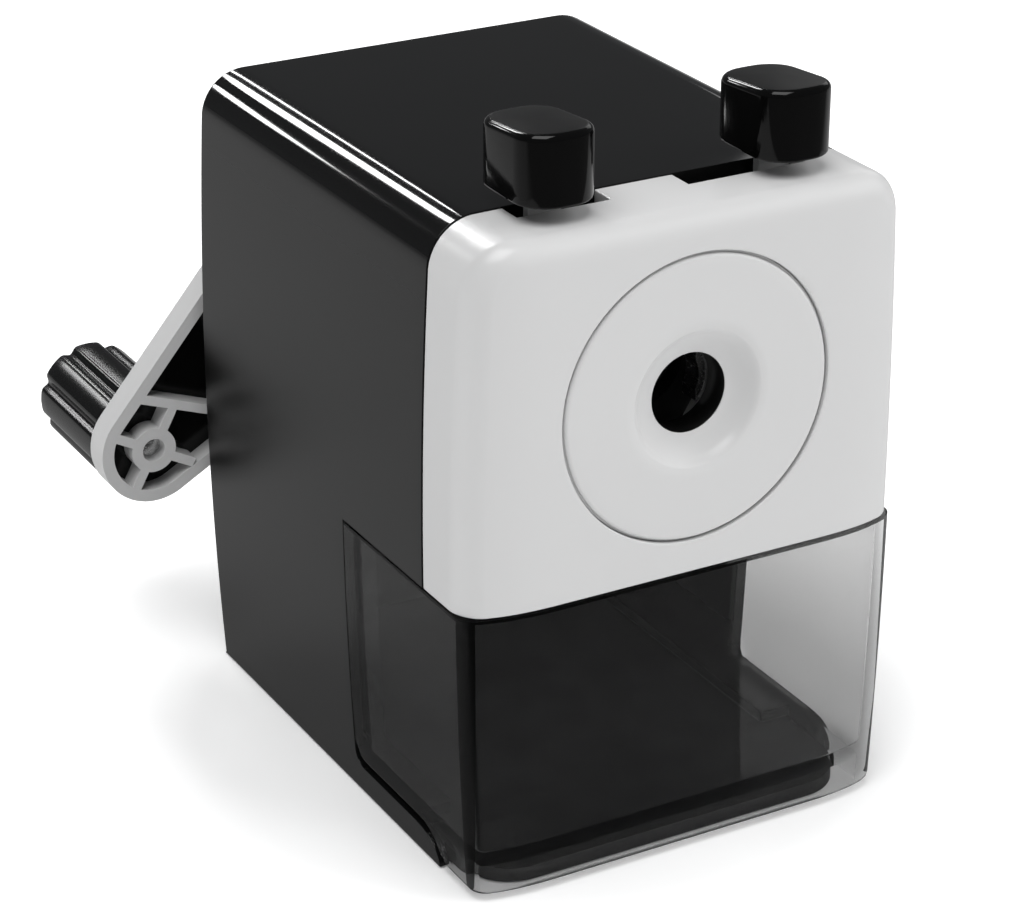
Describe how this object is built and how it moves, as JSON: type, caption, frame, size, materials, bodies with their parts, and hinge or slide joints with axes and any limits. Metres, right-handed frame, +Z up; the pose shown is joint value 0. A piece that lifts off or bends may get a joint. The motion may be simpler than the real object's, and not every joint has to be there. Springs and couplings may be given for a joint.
{
  "type": "pencil sharpener",
  "caption": "Hand-cranked desk pencil sharpener with a sprung pull-out carriage, pinch chuck, geared helical cutter and clear shavings drawer.",
  "frame": {"origin": "centre of the underside, on the surface that the feet rest on", "axes": "+Z up, the pencil goes in at the front along +Y, so the front faces -Y; +X is to the right seen from the front"},
  "size_m": [0.0793, 0.109, 0.102],
  "materials": {
    "housing_black": "gloss moulded plastic",
    "base_black": "matt moulded plastic",
    "foot_rubber": "matt",
    "frame_grey": "matt moulded plastic",
    "cover_grey": "semi-gloss moulded plastic",
    "crank_grey": "semi-gloss moulded plastic",
    "lever_grey": "satin",
    "knob_black": "gloss, satin top",
    "handle_black": "gloss, fluted",
    "drawer_smoke": "clear smoked plastic",
    "bright_steel": "bright",
    "spring_steel": "drawn wire",
    "cast_zinc": "die cast",
    "cutter_steel": "hardened and ground",
    "bush_nylon": "natural nylon"
  },
  "bodies": {
    "housing": {"housing": "housing_black", "base_plate": "base_black", "rubber_feet": "foot_rubber", "base_screws": "bright_steel", "inner_frame": "frame_grey", "frame_screws": "bright_steel", "ring_gear": "cast_zinc", "gear_screws": "bright_steel", "rear_bush": "bush_nylon", "drawer_stop": "frame_grey"},
    "crank": {"crank_shaft": "bright_steel", "crank_arm": "crank_grey", "arm_cover": "handle_black", "crank_screw": "bright_steel", "cutter_carrier": "cast_zinc", "cutter_pin": "bright_steel", "knob_pin": "bright_steel"},
    "handle": {"crank_knob": "handle_black", "knob_plug": "handle_black"},
    "cutter": {"helical_cutter": "cutter_steel", "cutter_pinion": "cutter_steel"},
    "carriage": {"front_cover": "cover_grey", "face_disc": "cover_grey", "disc_clip": "spring_steel", "carriage_plate": "frame_grey", "cover_screws": "bright_steel", "guide_rods": "bright_steel", "rod_clips": "spring_steel", "carriage_springs": "spring_steel", "pivot_pin": "bright_steel", "lever_spring": "spring_steel"},
    "left_lever": {"lever_left": "lever_grey", "jaw_left": "bright_steel", "pinch_knob_left": "knob_black"},
    "right_lever": {"lever_right": "lever_grey", "jaw_right": "bright_steel", "pinch_knob_right": "knob_black"},
    "drawer": {"drawer": "drawer_smoke"}
  },
  "joints": [
    {"name": "crank_turn", "type": "hinge", "parent": "housing", "child": "crank", "pos_m": [0, 0.0385, 0.0652], "axis": [0, 1, 0], "continuous": true},
    {"name": "handle_spin", "type": "hinge", "parent": "crank", "child": "handle", "pos_m": [-0.03878, 0.058, 0.03301], "axis": [0, 1, 0], "continuous": true},
    {"name": "cutter_spin", "type": "hinge", "parent": "crank", "child": "cutter", "pos_m": [0, 0.0255, 0.0729], "axis": [0, 0.9848, -0.1736], "continuous": true},
    {"name": "carriage_slide", "type": "slide", "parent": "housing", "child": "carriage", "axis": [0, -1, 0], "range_m": [0, 0.038], "stiffness_N_per_m": 60, "springref_m": -0.02, "deforming": ["carriage_springs"]},
    {"name": "left_pinch", "type": "hinge", "parent": "carriage", "child": "left_lever", "pos_m": [0, -0.0307, 0.047], "axis": [0, 1, 0], "range_deg": [0, 8], "stiffness_Nm_per_rad": 0.5, "springref_deg": -5.73},
    {"name": "right_pinch", "type": "hinge", "parent": "carriage", "child": "right_lever", "pos_m": [0, -0.0293, 0.047], "axis": [0, -1, 0], "range_deg": [0, 8], "stiffness_Nm_per_rad": 0.5, "springref_deg": -5.73, "deforming": ["lever_spring"]},
    {"name": "drawer_slide", "type": "slide", "parent": "housing", "child": "drawer", "axis": [0, -1, 0], "range_m": [0, 0.06]}
  ],
  "couplings": [
    {"joint": "cutter_spin", "follows": "crank_turn", "ratio": -2}
  ]
}
